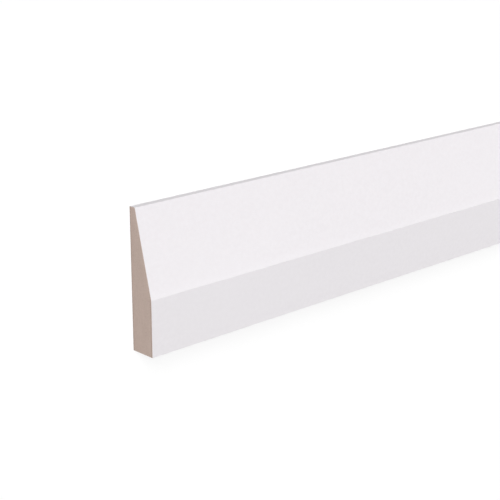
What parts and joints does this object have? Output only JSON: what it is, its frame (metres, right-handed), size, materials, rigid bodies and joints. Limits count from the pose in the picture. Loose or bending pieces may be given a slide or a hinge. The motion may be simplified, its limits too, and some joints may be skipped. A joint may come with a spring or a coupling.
{
  "type": "skirting board",
  "caption": "Straight length of chamfered skirting board: flat lower face, long shallow chamfer rising to a thin top edge, white primed fibreboard with bare sawn ends.",
  "frame": {"origin": "middle of the back face, which lies on the floor", "axes": "+X along the length, +Y across the back from the floor edge to the top edge, +Z from the back out through the face"},
  "size_m": [2.4, 0.09, 0.018],
  "materials": {
    "primed_mdf": "matt"
  },
  "bodies": {
    "root": {"skirting_board": "primed_mdf"}
  },
  "joints": []
}
